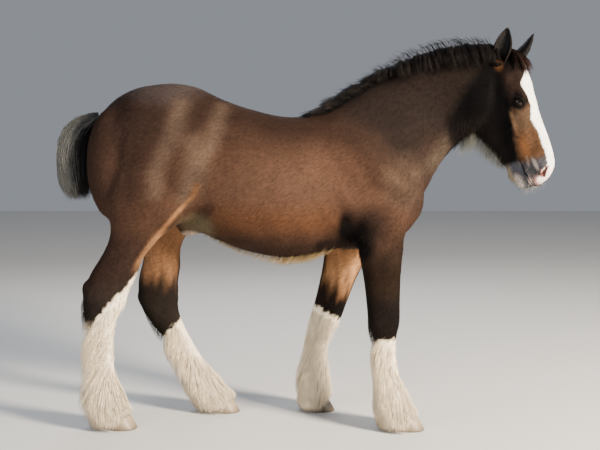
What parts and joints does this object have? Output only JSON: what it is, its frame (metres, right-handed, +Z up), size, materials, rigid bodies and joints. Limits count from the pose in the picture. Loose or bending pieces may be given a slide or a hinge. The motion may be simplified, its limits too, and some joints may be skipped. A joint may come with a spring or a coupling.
{
  "type": "horse figure",
  "caption": "Life-size still figure of a young feathered cob horse standing side-on, head turned to one side, with long hair on the lower legs.",
  "frame": {"origin": "on the floor at the middle of the bounding box", "axes": "+X towards the head, +Y towards the horse's left side, +Z up"},
  "size_m": [1.9118, 0.4576, 1.5381],
  "materials": {
    "coat": "short brown coat",
    "neck_coat": "short dark brown coat",
    "face": "short brown and white coat",
    "dark_leg": "short black brown coat",
    "feather": "long white hair",
    "tail_hair": "black and grey hair",
    "ear": "short black coat",
    "horn": "pale horn",
    "dark_horn": "dark horn",
    "eye": "wet dark eye"
  },
  "bodies": {
    "root": {"torso": "coat", "neck": "neck_coat", "head": "face", "tail": "tail_hair", "ear_right": "ear", "ear_left": "ear", "eye_right": "eye", "eye_left": "eye", "upper_fore_right": "dark_leg", "lower_fore_right": "feather", "hoof_fore_right": "horn", "upper_fore_left": "dark_leg", "lower_fore_left": "feather", "hoof_fore_left": "dark_horn", "upper_hind_right": "dark_leg", "lower_hind_right": "feather", "hoof_hind_right": "horn", "upper_hind_left": "dark_leg", "lower_hind_left": "feather", "hoof_hind_left": "horn"}
  },
  "joints": []
}
